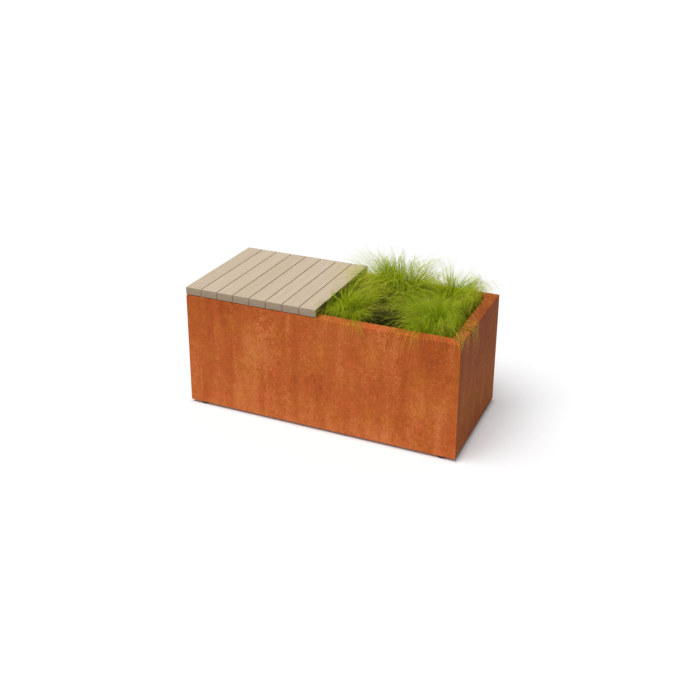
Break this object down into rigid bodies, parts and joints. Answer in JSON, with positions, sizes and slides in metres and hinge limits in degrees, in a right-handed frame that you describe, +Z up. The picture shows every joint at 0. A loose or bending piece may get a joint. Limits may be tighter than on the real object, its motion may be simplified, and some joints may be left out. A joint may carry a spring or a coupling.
{
  "type": "bench with planter",
  "caption": "Weathering steel box on levelling feet, half closed by a slatted timber seat deck and half planted with ornamental grass.",
  "frame": {"origin": "on the ground under the middle of the box, at the bottom centre of the bounding box", "axes": "+X along the length, with the seat deck at -X and the planting at +X; -Y is the front; +Z is up"},
  "size_m": [1.2, 0.55, 0.6456],
  "materials": {
    "corten": "weathering steel with a dry, mottled rust coat, matt",
    "slat": "planed greyed hardwood, matt",
    "aluminium": "mill finish extrusion",
    "stainless": "bright stainless",
    "zinc": "zinc plated",
    "glide": "black moulded nylon, matt",
    "soil": "moist planting soil, rough",
    "clay": "expanded clay pebbles",
    "fleece": "needled filter fleece",
    "grass": "fresh fine-leaved grass",
    "cover": "dark small-leaved ground cover"
  },
  "bodies": {
    "box": {"front_panel": "corten", "back_panel": "corten", "left_end_panel": "corten", "right_end_panel": "corten", "base_panel": "corten", "divider_panel": "corten", "seat_slat_1": "slat", "seat_slat_2": "slat", "seat_slat_3": "slat", "seat_slat_4": "slat", "seat_slat_5": "slat", "seat_slat_6": "slat", "seat_slat_7": "slat", "seat_slat_8": "slat", "deck_rail_front": "aluminium", "slat_screw_1_front": "stainless", "slat_screw_2_front": "stainless", "slat_screw_3_front": "stainless", "slat_screw_4_front": "stainless", "slat_screw_5_front": "stainless", "slat_screw_6_front": "stainless", "slat_screw_7_front": "stainless", "slat_screw_8_front": "stainless", "deck_bolt_front_1": "stainless", "deck_bolt_front_2": "stainless", "deck_rail_back": "aluminium", "slat_screw_1_back": "stainless", "slat_screw_2_back": "stainless", "slat_screw_3_back": "stainless", "slat_screw_4_back": "stainless", "slat_screw_5_back": "stainless", "slat_screw_6_back": "stainless", "slat_screw_7_back": "stainless", "slat_screw_8_back": "stainless", "deck_bolt_back_1": "stainless", "deck_bolt_back_2": "stainless", "foot_nut_front_left": "zinc", "foot_nut_front_right": "zinc", "foot_nut_back_left": "zinc", "foot_nut_back_right": "zinc", "drainage_layer": "clay", "filter_fleece": "fleece", "soil_fill": "soil", "grass_tuft_back_left": "grass", "grass_tuft_back_right": "grass", "grass_tuft_centre": "grass", "grass_tuft_front_left": "grass", "grass_tuft_front_right": "grass", "ground_cover_front": "cover", "ground_cover_deck_side": "cover", "ground_cover_right": "cover"},
    "foot_front_left": {"foot_pad_front_left": "glide", "foot_stem_front_left": "zinc"},
    "foot_front_right": {"foot_pad_front_right": "glide", "foot_stem_front_right": "zinc"},
    "foot_back_left": {"foot_pad_back_left": "glide", "foot_stem_back_left": "zinc"},
    "foot_back_right": {"foot_pad_back_right": "glide", "foot_stem_back_right": "zinc"}
  },
  "joints": [
    {"name": "foot_front_left_travel", "type": "slide", "parent": "box", "child": "foot_front_left", "axis": [0, 0, -1], "range_m": [0, 0.015]},
    {"name": "foot_front_right_travel", "type": "slide", "parent": "box", "child": "foot_front_right", "axis": [0, 0, -1], "range_m": [0, 0.015]},
    {"name": "foot_back_left_travel", "type": "slide", "parent": "box", "child": "foot_back_left", "axis": [0, 0, -1], "range_m": [0, 0.015]},
    {"name": "foot_back_right_travel", "type": "slide", "parent": "box", "child": "foot_back_right", "axis": [0, 0, -1], "range_m": [0, 0.015]}
  ]
}
